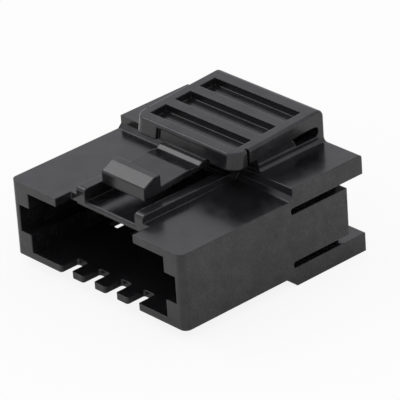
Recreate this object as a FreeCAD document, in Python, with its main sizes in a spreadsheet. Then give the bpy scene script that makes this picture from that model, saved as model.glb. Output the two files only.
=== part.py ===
import FreeCAD, Part
import os
import re
import Sketcher

# A wire to board connector housing, moulded in one piece. Lengths are millimetres.
# X runs across the housing, Y runs from the mating face to the wire side, and Z is up.
# The body is drawn with the middle of its mating face at X = 0, Y = 0 and the hood's
# underside at Z = 0. It is then placed so that the origin is under the middle of its box.

SIZES = (
    # The hood and the terminal block behind it.
    ("hood_width", 19.1),
    ("hood_height", 6.3),
    ("block_depth", 16.9),
    ("hood_reach", 8.6),
    ("corner_radius", 0.56),
    ("corner_block", 1.93),
    ("side_wall", 0.78),
    ("floor_wall", 0.54),
    ("roof_wall", 0.67),
    ("channel_low", 2.05),
    ("channel_high", 4.35),
    # The circuits: a terminal cavity for each, with a window for its lock in the hood's floor.
    ("circuits", 6),
    ("pitch", 2.5),
    ("cavity_width", 1.9),
    ("cavity_low", 1.7),
    ("cavity_high", 4.3),
    ("cavity_bevel", 0.2),
    ("port_size", 1.2),
    ("port_wall", 0.9),
    ("window_width", 1.15),
    ("window_length", 1.7),
    # The open slots in the floor's front edge, one under each of the middle circuits.
    ("slots", 4),
    ("slot_width", 1.2),
    ("slot_reach", 1.7),
    ("slot_radius", 0.2),
    # The notch in the roof's front edge, and the pocket with its rails under the latch arm.
    ("notch_width", 8.7),
    ("notch_reach", 1.6),
    ("pocket_gap", 5.62),
    ("pocket_floor", 5.9),
    ("pocket_under", 5.5),
    ("pocket_bevel", 0.15),
    ("rail_width", 0.9),
    ("rail_top", 6.95),
    ("rail_radius", 0.35),
    # The flanges at the wire side, and the slots that part them from the block's sides.
    ("overall_depth", 18.6),
    ("flange_front", 11.34),
    ("upper_flange_low", 5.71),
    ("upper_flange_high", 7.31),
    ("upper_flange_foot", 0.35),
    ("lower_flange_high", 0.67),
    ("lower_flange_drop", 0.86),
    ("lower_flange_lip", 0.82),
    ("flange_slot", 0.55),
    ("flange_slot_lead", 0.26),
    ("flange_slot_inset", 1.2),
    ("flange_slot_radius", 0.2),
    # The thumb pad, with its deeper nose, and the return bend, leaf and side webs under it.
    ("pad_width", 11.35),
    ("pad_front", 9.4),
    ("pad_front_top", 9.41),
    ("pad_rear_top", 9.98),
    ("pad_thickness", 1.16),
    ("pad_corner_radius", 1.1),
    ("pad_rim_radius", 0.22),
    ("nose_depth", 1.15),
    ("nose_under", 8.14),
    ("nose_lean", 0.25),
    ("groove_width", 0.3),
    ("groove_depth", 0.35),
    ("bend_wall", 0.68),
    ("bend_radius", 0.6),
    ("leaf_setback", 0.36),
    ("leaf_thickness", 0.57),
    ("leaf_foot_radius", 0.3),
    ("web_wall", 0.6),
    ("web_inset", 0.1),
    ("bend_slot", 2.22),
    ("web_lean", 0.55),
    # The three finger recesses in the pad, and the shallow one in its front face.
    ("recesses", 3),
    ("recess_width", 9.5),
    ("recess_length", 1.67),
    ("recess_pitch", 2.58),
    ("recess_first", 10.28),
    ("recess_sink", 0.6),
    ("face_width", 6.05),
    ("face_top", 9.1),
    ("face_sink", 0.26),
    # The latch arm, its hook, the thinner stretch where it bends and the step in front of the pad.
    ("arm_width", 4.7),
    ("arm_thickness", 0.55),
    ("arm_front_top", 7.58),
    ("arm_slope", 0.084),
    ("hook_front", 3.1),
    ("hook_nose_low", 7.1),
    ("hook_nose_top", 8.13),
    ("hook_nose_radius", 0.2),
    ("hook_ramp", 1.1),
    ("hook_crest_top", 8.68),
    ("hook_length", 1.68),
    ("dip_length", 1.15),
    ("dip_fall", 0.07),
    ("step_front", 8.65),
    ("step_length", 0.35),
    ("step_top", 8.1),
)

# Sizes that follow from the ones above. The sheet works them out.
DERIVED = (
    ("hood_half", "hood_width / 2"),
    ("roof_under", "hood_height - roof_wall"),
    ("mouth_half", "hood_half - corner_block"),
    ("channel_half", "hood_half - side_wall"),
    ("first_circuit", "-pitch * (circuits - 1) / 2"),
    ("first_slot", "-pitch * (slots - 1) / 2"),
    ("notch_half", "notch_width / 2"),
    ("pocket_half", "pocket_gap / 2"),
    ("rail_half", "pocket_half + rail_width"),
    ("flange_slot_front", "flange_front - flange_slot_lead"),
    ("pad_half", "pad_width / 2"),
    ("pad_slope", "(pad_rear_top - pad_front_top) / (overall_depth - pad_front)"),
    ("nose_rear", "pad_front + nose_depth"),
    ("nose_foot", "pad_front - nose_lean"),
    ("nose_slope", "nose_lean / (pad_front_top - nose_under)"),
    ("face_rear_low", "pad_front + face_sink - nose_slope * (pad_front_top - step_top)"),
    ("face_rear_high", "pad_front + face_sink - nose_slope * (pad_front_top - face_top)"),
    ("bend_inside", "overall_depth - bend_wall"),
    ("leaf_front", "flange_front + leaf_setback"),
    ("web_rear", "bend_inside - bend_slot"),
    ("pad_under_front", "pad_front_top + pad_slope * nose_depth - pad_thickness"),
    ("pad_under_rear", "pad_rear_top - pad_slope * bend_wall - pad_thickness"),
    ("leaf_top", "upper_flange_high + leaf_thickness"),
    ("web_width", "pad_width - 2 * web_inset"),
    ("web_gap", "web_width - 2 * web_wall"),
    ("bend_inner_radius", "0.45 * (pad_under_rear - leaf_top)"),
    ("hook_rear", "hook_front + hook_length"),
    ("arm_foot_top", "arm_front_top + arm_slope * hook_length"),
    ("dip_front", "step_front - dip_length"),
    ("dip_front_top", "arm_front_top + arm_slope * (dip_front - hook_front)"),
    ("arm_step_top", "dip_front_top - dip_fall"),
    ("arm_rear_top", "arm_front_top + arm_slope * (nose_rear - hook_front)"),
)

# How far a cutting outline runs past the surface that it opens, and how far a solid that is
# added runs into the one that carries it.
CLEAR = "1"
OVERLAP = "0.2"


def make_sheet(doc):
    sheet = doc.addObject("Spreadsheet::Sheet", "Sizes")
    row = 1
    for name, value in SIZES + DERIVED:
        sheet.set("A%d" % row, name)
        sheet.set("B%d" % row, "=" + value if isinstance(value, str) else str(value))
        sheet.setAlias("B%d" % row, name)
        row += 1
    doc.recompute()
    return sheet


def expression(text):
    """Return an expression in which each size is named as its cell in the sheet."""
    return re.sub(r"[a-z_]+", lambda match: "Sizes." + match.group(0), text)


def number(body, text):
    """Return the value of an expression in the sheet's sizes."""
    return float(body.evalExpression(expression(text)))


def sketch(body, name, role, outlines, offset=None):
    """Draw closed outlines on one of the body's origin planes.

    Each corner of an outline is a pair of expressions, and each is bound to the sheet.
    """
    drawing = body.newObject("Sketcher::SketchObject", name)
    plane = [item for item in body.Origin.OriginFeatures if item.Role == role][0]
    drawing.AttachmentSupport = [(plane, "")]
    drawing.MapMode = "FlatFace"
    if offset:
        drawing.setExpression("AttachmentOffset.Base.z", expression(offset))
    for outline in outlines:
        corners = [FreeCAD.Vector(number(body, across), number(body, up), 0) for across, up in outline]
        first = drawing.GeometryCount
        count = len(corners)
        for index in range(count):
            line = Part.LineSegment(corners[index], corners[(index + 1) % count])
            drawing.addGeometry(line, False)
        for index, (across, up) in enumerate(outline):
            here = first + index
            after = first + (index + 1) % count
            drawing.addConstraint(Sketcher.Constraint("Coincident", here, 2, after, 1))
            for kind, text in (("DistanceX", across), ("DistanceY", up)):
                distance = Sketcher.Constraint(kind, -1, 1, here, 1, number(body, text))
                key = drawing.addConstraint(distance)
                drawing.setExpression("Constraints[%d]" % key, expression(text))
    return drawing


def rectangle(left, low, right, high):
    return ((left, low), (right, low), (right, high), (left, high))


def mirrored(left, low, right, high):
    """Return a rectangle and its mirror image in X = 0."""
    return (rectangle(left, low, right, high),
            rectangle("-(" + right + ")", low, "-(" + left + ")", high))


def across(body, kind, name, outline, width):
    """Add or cut a side profile, drawn in Y and Z, over a width centred on X = 0."""
    feature = body.newObject("PartDesign::" + kind, name)
    feature.Profile = sketch(body, name + "_profile", "YZ_Plane", (outline,))
    feature.Midplane = True
    feature.setExpression("Length", expression(width))
    return feature


def along(body, kind, name, outlines, start, end):
    """Add or cut front outlines, drawn in X and Z, from Y = start to Y = end."""
    feature = body.newObject("PartDesign::" + kind, name)
    feature.Profile = sketch(body, name + "_profile", "XZ_Plane", outlines, "-(" + start + ")")
    feature.Reversed = kind == "Pad"
    feature.setExpression("Length", expression("(" + end + ") - (" + start + ")"))
    return feature


def repeat(body, name, feature, copies):
    """Repeat a feature along X, a pitch apart, until there are as many as copies says."""
    pattern = body.newObject("PartDesign::LinearPattern", name)
    pattern.Originals = [feature]
    pattern.Direction = (feature.Profile[0], ["H_Axis"])
    pattern.setExpression("Length", expression("pitch * (" + copies + " - 1)"))
    pattern.setExpression("Occurrences", expression(copies))
    body.Tip = pattern


def dress_edges(body, kind, name, size, wanted):
    """Fillet or chamfer the straight edges that wanted picks by their middle and direction."""
    body.Document.recompute()
    base = body.Tip
    picked = []
    for index, edge in enumerate(base.Shape.Edges, start=1):
        if edge.Curve.TypeId == "Part::GeomLine":
            middle = edge.valueAt((edge.FirstParameter + edge.LastParameter) / 2)
            if wanted(middle, edge.Curve.Direction):
                picked.append("Edge%d" % index)
    feature = body.newObject("PartDesign::" + kind, name)
    feature.Base = (base, picked)
    feature.setExpression("Radius" if kind == "Fillet" else "Size", expression(size))
    body.Tip = feature
    return feature


def near(value, target):
    return abs(value - target) < 0.01


def make_hood(body):
    """The hood, its keyed mouth, the slots in its floor and the notch in its roof."""
    outer = rectangle("-hood_half", "0", "hood_half", "hood_height")
    along(body, "Pad", "Hood", (outer,), "0", "block_depth")
    dress_edges(body, "Fillet", "Hood_corners", "corner_radius",
                lambda middle, way: near(middle.y, 0) and near(abs(way.z), 1))
    mouth = rectangle("-mouth_half", "floor_wall", "mouth_half", "roof_under")
    along(body, "Pocket", "Mouth", (mouth,), "0", "hood_reach")
    channels = rectangle("-channel_half", "channel_low", "channel_half", "channel_high")
    along(body, "Pocket", "Channels", (channels,), "0", "hood_reach")
    notch = rectangle("-notch_half", "roof_under - " + OVERLAP, "notch_half", "hood_height + " + CLEAR)
    along(body, "Pocket", "Notch", (notch,), "0", "notch_reach")
    slot = rectangle("first_slot - slot_width / 2", "-" + CLEAR,
                     "first_slot + slot_width / 2", "floor_wall + " + OVERLAP)
    repeat(body, "Floor_slots", along(body, "Pocket", "Floor_slot", (slot,), "0", "slot_reach"), "slots")
    inside = number(body, "mouth_half")
    reach = number(body, "slot_reach")
    middle_floor = number(body, "floor_wall / 2")
    dress_edges(body, "Fillet", "Floor_slot_corners", "slot_radius",
                lambda middle, way: near(middle.z, middle_floor) and abs(middle.x) < inside
                and (near(middle.y, 0) or near(middle.y, reach)))


def make_cavities(body):
    """One terminal cavity for each circuit, with a port into the hood and a lock window."""
    cavity = rectangle("first_circuit - cavity_width / 2", "cavity_low",
                       "first_circuit + cavity_width / 2", "cavity_high")
    first_cavity = along(body, "Pocket", "Cavity", (cavity,), "hood_reach + port_wall", "block_depth")
    repeat(body, "Cavities", first_cavity, "circuits")
    middle = "(cavity_low + cavity_high) / 2"
    port = rectangle("first_circuit - port_size / 2", middle + " - port_size / 2",
                     "first_circuit + port_size / 2", middle + " + port_size / 2")
    first_port = along(body, "Pocket", "Port", (port,), "hood_reach", "hood_reach + port_wall")
    repeat(body, "Ports", first_port, "circuits")
    window = rectangle("first_circuit - window_width / 2", "-" + CLEAR,
                       "first_circuit + window_width / 2", "floor_wall + " + OVERLAP)
    first_window = along(body, "Pocket", "Window", (window,),
                         "hood_reach - window_length", "hood_reach")
    repeat(body, "Windows", first_window, "circuits")
    rear = number(body, "block_depth")
    inside = number(body, "mouth_half")
    low = number(body, "cavity_low")
    high = number(body, "cavity_high")
    dress_edges(body, "Chamfer", "Cavity_bevels", "cavity_bevel",
                lambda middle, way: near(middle.y, rear) and abs(middle.x) < inside
                and low - 0.01 < middle.z < high + 0.01)


def make_pocket(body):
    """The pocket under the latch arm, with the rails beside it and the plate below it."""
    plate = rectangle("-rail_half", "pocket_under", "rail_half", "roof_under + " + OVERLAP)
    along(body, "Pad", "Pocket_plate", (plate,), "notch_reach", "hood_reach + " + OVERLAP)
    rails = mirrored("pocket_half", "roof_under", "rail_half", "rail_top")
    along(body, "Pad", "Rails", rails, "notch_reach", "flange_front + " + OVERLAP)
    pocket = rectangle("-pocket_half", "pocket_floor", "pocket_half", "hood_height + " + CLEAR)
    along(body, "Pocket", "Pocket", (pocket,), "notch_reach", "flange_front + " + OVERLAP)
    front = number(body, "notch_reach")
    rail_top = number(body, "rail_top")
    floor = number(body, "pocket_floor")
    dress_edges(body, "Fillet", "Rail_noses", "rail_radius",
                lambda middle, way: near(middle.y, front) and near(middle.z, rail_top))
    dress_edges(body, "Chamfer", "Pocket_edge", "pocket_bevel",
                lambda middle, way: near(middle.y, front) and near(middle.z, floor))


def make_flanges(body):
    """The flanges above and below the block, and the slots that part them from its sides."""
    upper = (("flange_front", "upper_flange_low"), ("overall_depth", "upper_flange_low"),
             ("overall_depth", "upper_flange_high"), ("flange_front", "upper_flange_high"),
             ("flange_front", "hood_height + upper_flange_foot"),
             ("flange_front - upper_flange_foot", "hood_height"))
    across(body, "Pad", "Upper_flange", upper, "hood_width")
    lower = (("flange_front - lower_flange_lip", "0"), ("flange_front", "-lower_flange_drop"),
             ("overall_depth", "-lower_flange_drop"), ("overall_depth", "lower_flange_high"),
             ("flange_front", "lower_flange_high"))
    across(body, "Pad", "Lower_flange", lower, "hood_width")
    inner = "hood_half - flange_slot_inset"
    outer = "hood_half + " + CLEAR
    slots = (mirrored(inner, "lower_flange_high", outer, "lower_flange_high + flange_slot")
             + mirrored(inner, "upper_flange_low - flange_slot", outer, "upper_flange_low"))
    along(body, "Pocket", "Flange_slots", slots, "flange_slot_front", "block_depth")
    front = number(body, "flange_slot_front")
    half = number(body, "hood_half")
    levels = [number(body, text) for text in
              ("lower_flange_high", "lower_flange_high + flange_slot",
               "upper_flange_low - flange_slot", "upper_flange_low")]
    dress_edges(body, "Fillet", "Flange_slot_ends", "flange_slot_radius",
                lambda middle, way: near(middle.y, front) and near(abs(way.x), 1)
                and abs(middle.x) > half / 2 and any(near(middle.z, level) for level in levels))


def make_webs(body):
    """The walls between the pad's side edges and the leaf, which end at the slot in front of the bend."""
    web = (("leaf_front", "upper_flange_high - " + OVERLAP), ("web_rear", "upper_flange_high - " + OVERLAP),
           ("web_rear", "leaf_top"), ("web_rear - web_lean", "pad_under_rear"),
           ("leaf_front", "pad_under_rear"))
    across(body, "Pad", "Webs", web, "web_width")
    gap = rectangle("leaf_front - " + CLEAR, "leaf_top - " + OVERLAP,
                    "web_rear + " + CLEAR, "pad_under_rear + " + CLEAR)
    across(body, "Pocket", "Web_gap", gap, "web_gap")


def make_lever(body):
    """The thumb pad, which runs back into a return bend and a leaf on the upper flange."""
    profile = (("nose_foot", "nose_under"), ("nose_rear", "nose_under"), ("nose_rear", "pad_under_front"),
               ("bend_inside", "pad_under_rear"), ("bend_inside", "leaf_top"), ("leaf_front", "leaf_top"),
               ("leaf_front", "upper_flange_high - " + OVERLAP),
               ("overall_depth", "upper_flange_high - " + OVERLAP),
               ("overall_depth", "pad_rear_top"), ("pad_front", "pad_front_top"))
    across(body, "Pad", "Lever", profile, "pad_width")
    half = number(body, "pad_half")
    front = number(body, "pad_front")
    rear = number(body, "overall_depth")
    top = number(body, "pad_rear_top")
    inside = number(body, "bend_inside")
    corner = number(body, "(pad_front + nose_foot) / 2")
    dress_edges(body, "Fillet", "Pad_corners", "pad_corner_radius",
                lambda middle, way: near(abs(middle.x), half) and near(middle.y, corner))
    dress_edges(body, "Fillet", "Bend_outside", "bend_radius",
                lambda middle, way: near(middle.y, rear) and near(middle.z, top))
    dress_edges(body, "Fillet", "Bend_inside", "bend_inner_radius",
                lambda middle, way: near(middle.y, inside) and near(abs(way.x), 1))
    foot = number(body, "upper_flange_high")
    leaf = number(body, "leaf_front")
    dress_edges(body, "Fillet", "Leaf_foot", "leaf_foot_radius",
                lambda middle, way: near(middle.z, foot) and near(abs(middle.x), half) and middle.y > leaf)
    front_top = number(body, "pad_front_top")
    dress_edges(body, "Fillet", "Pad_rim", "pad_rim_radius",
                lambda middle, way: near(middle.y, front) and near(middle.z, front_top))


def make_arm(body):
    """The latch arm, its ramped hook, the dip where it bends and the step in front of the pad."""
    profile = (("hook_front", "hook_nose_low"),
               ("nose_rear", "arm_rear_top - arm_thickness"),
               ("nose_rear", "pad_under_front + " + OVERLAP), ("step_front + step_length", "step_top"),
               ("step_front", "arm_step_top"), ("dip_front", "dip_front_top"), ("hook_rear", "arm_foot_top"),
               ("hook_rear", "hook_crest_top"), ("hook_front + hook_ramp", "hook_crest_top"),
               ("hook_front", "hook_nose_top"))
    across(body, "Pad", "Arm", profile, "arm_width")
    front = number(body, "hook_front")
    nose_top = number(body, "hook_nose_top")
    dress_edges(body, "Fillet", "Hook_nose", "hook_nose_radius",
                lambda middle, way: near(middle.y, front) and near(middle.z, nose_top))


def make_pad_details(body):
    """The finger recesses, the shallow recess over the arm and the grooves behind the nose."""
    for index in range(int(number(body, "recesses"))):
        start = "(recess_first + %d * recess_pitch)" % index
        end = "(" + start + " + recess_length)"
        floor = "pad_front_top - recess_sink + pad_slope * (%s - pad_front)"
        above = "pad_rear_top + " + CLEAR
        outline = ((start, floor % start), (end, floor % end), (end, above), (start, above))
        across(body, "Pocket", "Recess_%d" % (index + 1), outline, "recess_width")
    ahead = "nose_foot - " + CLEAR
    face = ((ahead, "step_top"), ("face_rear_low", "step_top"),
            ("face_rear_high", "face_top"), (ahead, "face_top"))
    across(body, "Pocket", "Sunk_face", face, "face_width")
    grooves = mirrored("pad_half - groove_depth", "nose_under - " + OVERLAP,
                       "pad_half + " + CLEAR, "pad_rear_top + " + CLEAR)
    along(body, "Pocket", "Grooves", grooves, "nose_rear", "nose_rear + groove_width")


def make_housing(doc):
    body = doc.addObject("PartDesign::Body", "Housing")
    body.Label = "housing"
    make_hood(body)
    make_cavities(body)
    make_pocket(body)
    make_flanges(body)
    make_webs(body)
    make_lever(body)
    make_arm(body)
    make_pad_details(body)
    body.setExpression("Placement.Base.y", expression("-overall_depth / 2"))
    body.setExpression("Placement.Base.z", expression("lower_flange_drop"))
    doc.recompute()
    return body


def check(doc, pieces):
    for item in doc.Objects:
        if "Invalid" in item.State or "Error" in item.State:
            raise RuntimeError("%s did not build: %s" % (item.Name, item.State))
    for piece in pieces:
        if piece.Shape.isNull() or not piece.Shape.isValid():
            raise RuntimeError("%s has no valid shape" % piece.Label)


def main():
    doc = FreeCAD.newDocument("connector_housing")
    make_sheet(doc)
    pieces = [make_housing(doc)]
    check(doc, pieces)
    os.makedirs("parts", exist_ok=True)
    for piece in pieces:
        piece.Shape.exportStep("parts/%s.step" % piece.Label)
        print(piece.Label, "solids", len(piece.Shape.Solids), "volume %.1f" % piece.Shape.Volume)


main()
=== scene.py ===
import math

import bpy
from mathutils import Matrix, Vector

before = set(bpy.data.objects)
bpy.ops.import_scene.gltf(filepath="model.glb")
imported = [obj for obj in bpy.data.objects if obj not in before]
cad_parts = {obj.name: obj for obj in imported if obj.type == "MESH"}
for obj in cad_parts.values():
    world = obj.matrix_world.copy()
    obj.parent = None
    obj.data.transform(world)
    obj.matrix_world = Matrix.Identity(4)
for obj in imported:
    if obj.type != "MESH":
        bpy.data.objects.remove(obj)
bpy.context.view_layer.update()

# The look of a black moulded connector housing. Everything is in metres, in the CAD's frame:
# +X runs across the housing, +Y from the mating face to the wire side, and +Z is up.

MM = 0.001
WHITE = (1.0, 1.0, 1.0, 1.0)


# A small set of helpers keeps the node trees short.

class Tree:
    """Adds nodes to a material's or the world's node tree and links them."""

    def __init__(self, owner):
        owner.use_nodes = True
        self.nodes = owner.node_tree.nodes
        self.links = owner.node_tree.links
        self.nodes.clear()

    def add(self, kind, settings=None, **inputs):
        """Add a node. An input is named by its socket, or by i and the socket's number."""
        node = self.nodes.new("ShaderNode" + kind)
        for name, value in (settings or {}).items():
            setattr(node, name, value)
        for name, value in inputs.items():
            numbered = name[0] == "i" and name[1:].isdigit()
            self.feed(node.inputs[int(name[1:]) if numbered else name.replace("_", " ")], value)
        return node

    def feed(self, socket, value):
        """Link the socket to a value that is a socket, or else set it to the value."""
        if isinstance(value, bpy.types.NodeSocket):
            self.links.new(value, socket)
        else:
            socket.default_value = value

    def math(self, operation, first, second=0.0, clamp=False):
        node = self.add("Math", {"operation": operation, "use_clamp": clamp}, i0=first, i1=second)
        return node.outputs[0]

    def ramp(self, value, low, high, out_low=0.0, out_high=1.0):
        """Map value from low..high to out_low..out_high, clamped."""
        node = self.add("MapRange", {"clamp": True}, Value=value, From_Min=low, From_Max=high,
                        To_Min=out_low, To_Max=out_high)
        return node.outputs["Result"]

    def mix_colour(self, factor, first, second):
        node = self.add("Mix", {"data_type": "RGBA"})
        for name, value in (("Factor", factor), ("A", first), ("B", second)):
            socket = [item for item in node.inputs if item.name == name and item.enabled][0]
            self.feed(socket, value)
        return [item for item in node.outputs if item.enabled][0]

    def mix_shader(self, factor, first, second):
        return self.add("MixShader", Fac=factor, i1=first, i2=second).outputs[0]

    def noise(self, place, per_mm, detail, roughness=0.5):
        """A noise whose cells are about 1 / per_mm millimetres wide."""
        return self.add("TexNoise", {"noise_dimensions": "3D"}, Vector=place, Scale=per_mm / MM,
                        Detail=detail, Roughness=roughness).outputs["Fac"]

    def is_reflected(self, rays):
        """1 for a ray that was mirrored or let through, and 0 for any other."""
        return self.math("MAXIMUM", rays.outputs["Is Glossy Ray"],
                         rays.outputs["Is Transmission Ray"])


# The plastic. Noise cells per millimetre, and the sizes of what a material can round or raise.
GRAIN_PER_MM = 5.0
MOTTLE_PER_MM = 0.8
FLOW_PER_MM = 0.16
EDGE_RADIUS = 0.14 * MM
GRAIN_HEIGHT = 0.02 * MM
PLASTIC_IOR = 1.57


def grey(level, blue=1.0):
    return (level, level, level * blue, 1.0)


def moulded_plastic(name):
    """Glossy black plastic: fine grain, soft mottling, flow marks, and a painted highlight on the
    edges.
    """
    material = bpy.data.materials.new(name)
    tree = Tree(material)
    place = tree.add("TexCoord").outputs["Object"]
    geometry = tree.add("NewGeometry").outputs
    facing = tree.add("SeparateXYZ", i0=geometry["True Normal"])
    sideways = tree.ramp(tree.math("ABSOLUTE", facing.outputs["X"]), 0.5, 0.9)

    grain = tree.noise(place, GRAIN_PER_MM, detail=2.0, roughness=0.6)
    mottle = tree.noise(place, MOTTLE_PER_MM, detail=5.0, roughness=0.6)
    flow = tree.noise(place, FLOW_PER_MM, detail=2.0, roughness=0.4)

    # The edges are rounded in the shading. A painted highlight also makes their colour a little
    # lighter, in uneven patches.
    rounded = tree.add("Bevel", {"samples": 6}, Radius=EDGE_RADIUS).outputs["Normal"]
    sharp = tree.add("VectorMath", {"operation": "DOT_PRODUCT"}, i0=rounded,
                     i1=geometry["Normal"]).outputs["Value"]
    edge = tree.ramp(sharp, 0.995, 0.85)
    painted_edge_highlight = tree.math("MULTIPLY", edge, tree.ramp(mottle, 0.35, 0.65, 0.35, 1.0))

    flow_marks = tree.math("MULTIPLY", tree.ramp(flow, 0.35, 0.65), 0.35)
    colour = tree.mix_colour(tree.ramp(mottle, 0.3, 0.7), grey(0.006, 1.15), grey(0.010, 1.1))
    colour = tree.mix_colour(flow_marks, colour, grey(0.014, 1.15))
    # Painted highlight: the edges' colour is lightened towards a light grey.
    colour = tree.mix_colour(tree.math("MULTIPLY", painted_edge_highlight, 0.5), colour, grey(0.035, 1.03))

    # The sides are a little rougher and more grained than the top and the front.
    roughness = tree.math("ADD", tree.ramp(mottle, 0.3, 0.7, 0.16, 0.25),
                          tree.math("MULTIPLY", sideways, 0.05))
    roughness = tree.math("ADD", roughness, tree.ramp(grain, 0.3, 0.7, -0.02, 0.02), clamp=True)
    strength = tree.math("ADD", 0.03, tree.math("MULTIPLY", sideways, 0.12))
    bump = tree.add("Bump", Strength=strength, Distance=GRAIN_HEIGHT, Height=grain, Normal=rounded)

    # The gloss is uneven: fine on the sides, and in broad soft patches on the rest.
    patches = tree.ramp(mottle, 0.3, 0.7, 0.42, 0.57)
    speckle = tree.math("MULTIPLY", sideways, tree.ramp(grain, 0.3, 0.7, -0.08, 0.08))
    gloss = tree.math("ADD", patches, speckle)

    shader = tree.add("BsdfPrincipled", Base_Color=colour, Roughness=roughness, IOR=PLASTIC_IOR,
                      Specular_IOR_Level=gloss, Normal=bump.outputs["Normal"])
    tree.add("OutputMaterial", Surface=shader.outputs["BSDF"])
    return material


# The housing keeps its CAD mesh.
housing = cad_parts["housing"]
housing.data.materials.clear()
housing.data.materials.append(moulded_plastic("housing_plastic"))


# The floor. A share of its white shows by itself, to the camera and in reflections. The rest is
# lit, and holds the housing's shadow. It lies just below the housing's underside.
FLOOR_SEEN = 0.87
FLOOR_REFLECTED = 0.05
FLOOR_SIZE = 3.0
FLOOR_LEVEL = -0.01 * MM


def studio_floor():
    material = bpy.data.materials.new("studio_floor")
    tree = Tree(material)
    place = tree.add("TexCoord").outputs["Object"]
    cloud = tree.noise(place, 0.02, detail=2.0)
    diffuse = tree.add("BsdfDiffuse", Color=tree.mix_colour(cloud, grey(0.90), grey(0.93)))
    white = tree.add("Emission", Color=WHITE, Strength=1.0)
    rays = tree.add("LightPath")
    direct = tree.math("MULTIPLY", rays.outputs["Is Camera Ray"], FLOOR_SEEN)
    mirrored = tree.math("MULTIPLY", tree.is_reflected(rays), FLOOR_REFLECTED)
    surface = tree.mix_shader(tree.math("MAXIMUM", direct, mirrored),
                              diffuse.outputs[0], white.outputs[0])
    tree.add("OutputMaterial", Surface=surface)
    bpy.ops.mesh.primitive_plane_add(size=FLOOR_SIZE, location=(0.0, 0.0, FLOOR_LEVEL))
    floor = bpy.context.object
    floor.name = "floor"
    floor.data.materials.append(material)


# The surround lights softly. It looks white, and is a little dimmer and bluer in reflections.
SURROUND_LIGHT = 0.85
SURROUND_REFLECTED = 0.8
REFLECTED_TINT = (0.95, 0.935, 1.0, 1.0)


def studio_world():
    world = bpy.data.worlds.new("studio")
    bpy.context.scene.world = world
    tree = Tree(world)
    rays = tree.add("LightPath")
    lights = tree.add("Background", Color=WHITE, Strength=SURROUND_LIGHT)
    reflects = tree.add("Background", Color=REFLECTED_TINT, Strength=SURROUND_REFLECTED)
    white = tree.add("Background", Color=WHITE, Strength=1.0)
    unseen = tree.mix_shader(tree.is_reflected(rays), lights.outputs[0], reflects.outputs[0])
    surface = tree.mix_shader(rays.outputs["Is Camera Ray"], unseen, white.outputs[0])
    tree.add("OutputWorld", Surface=surface)


def softbox(name, direction, distance, size, radiance):
    """A square area light that faces the housing. Radiance 1 is as bright as the surround."""
    light = bpy.data.lights.new(name, "AREA")
    light.shape = "SQUARE"
    light.size = size
    light.energy = radiance * math.pi * size * size
    lamp = bpy.data.objects.new(name, light)
    bpy.context.collection.objects.link(lamp)
    way = Vector(direction).normalized()
    lamp.location = way * distance
    lamp.rotation_euler = way.to_track_quat("Z", "Y").to_euler()


studio_floor()
studio_world()

# The hook's ramp and the step in front of the pad mirror this light to the camera.
softbox("key", direction=(-0.67, -0.16, 0.72), distance=0.36, size=0.12, radiance=2.6)


# The camera stands where the photograph was taken, about 28 cm away at 49 degrees to the
# right of the mating face and 28 degrees up.
CAMERA_PLACE = Vector((188.702, -162.564, 134.686)) * MM
CAMERA_RIGHT = Vector((0.67882539, 0.73156892, -0.06326932))
CAMERA_UP = Vector((-0.30162706, 0.35636102, 0.88432344))
CAMERA_LENS = 333.64
CAMERA_SENSOR = 36.0


def photo_camera():
    camera = bpy.data.cameras.new("camera")
    camera.sensor_width = CAMERA_SENSOR
    camera.lens = CAMERA_LENS
    camera.clip_start = 0.01
    holder = bpy.data.objects.new("camera", camera)
    bpy.context.collection.objects.link(holder)
    turn = Matrix((CAMERA_RIGHT, CAMERA_UP, CAMERA_RIGHT.cross(CAMERA_UP))).transposed()
    holder.matrix_world = Matrix.Translation(CAMERA_PLACE) @ turn.to_4x4()
    bpy.context.scene.camera = holder


photo_camera()
bpy.context.scene.view_settings.view_transform = "Standard"
